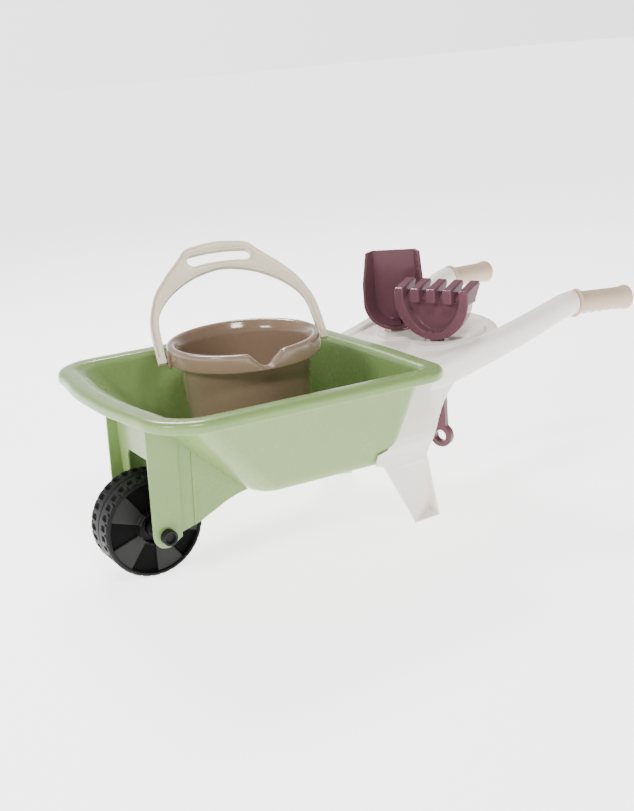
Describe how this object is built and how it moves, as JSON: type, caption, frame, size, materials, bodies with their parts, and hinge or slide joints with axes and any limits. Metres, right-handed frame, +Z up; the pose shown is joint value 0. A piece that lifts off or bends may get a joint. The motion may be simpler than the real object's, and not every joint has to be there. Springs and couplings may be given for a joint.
{
  "type": "toy wheelbarrow",
  "caption": "Plastic toy wheelbarrow with a flared tub, front fork wheel, splayed legs, angled handle grips, a rear tool rack, and a seated bucket, spade and rake.",
  "frame": {"origin": "centre of the bounding box's underside, on the ground plane under the wheel and the legs", "axes": "+X from the wheel towards the hand grips, +Y to the barrow's right side, +Z up"},
  "size_m": [0.772, 0.3938, 0.3884],
  "materials": {
    "green": "satin",
    "cream": "satin",
    "ivory": "satin",
    "black": "semi-gloss, fine texture",
    "taupe": "gloss",
    "taupe_grip": "satin, soft",
    "plum": "gloss"
  },
  "bodies": {
    "barrow": {"tub": "green", "side_frame_left": "cream", "side_frame_right": "cream", "tool_rack": "cream", "axle": "black", "axle_cap_left": "black", "axle_cap_right": "black", "axle_spacer_left": "black", "axle_spacer_right": "black", "grip_left": "taupe_grip", "grip_right": "taupe_grip"},
    "wheel": {"wheel_half_left": "black", "wheel_half_right": "black"},
    "bucket": {"bucket": "taupe"},
    "bucket_handle": {"bucket_handle": "ivory"},
    "spade": {"spade": "plum"},
    "rake": {"rake": "plum"}
  },
  "joints": [
    {"name": "wheel_spin", "type": "hinge", "parent": "barrow", "child": "wheel", "pos_m": [-0.32005, 0, 0.0659], "axis": [0, 1, 0], "continuous": true},
    {"name": "bucket_lift", "type": "slide", "parent": "barrow", "child": "bucket", "axis": [0, 0, 1], "range_m": [0, 0.3]},
    {"name": "bucket_handle_swing", "type": "hinge", "parent": "bucket", "child": "bucket_handle", "pos_m": [-0.15415, 0.00025, 0.261], "axis": [0.9755, -0.2202, 0], "range_deg": [-46, 126]},
    {"name": "spade_lift", "type": "slide", "parent": "barrow", "child": "spade", "axis": [0, 0, 1], "range_m": [0, 0.25]},
    {"name": "rake_lift", "type": "slide", "parent": "barrow", "child": "rake", "axis": [0, 0, 1], "range_m": [0, 0.25]}
  ]
}
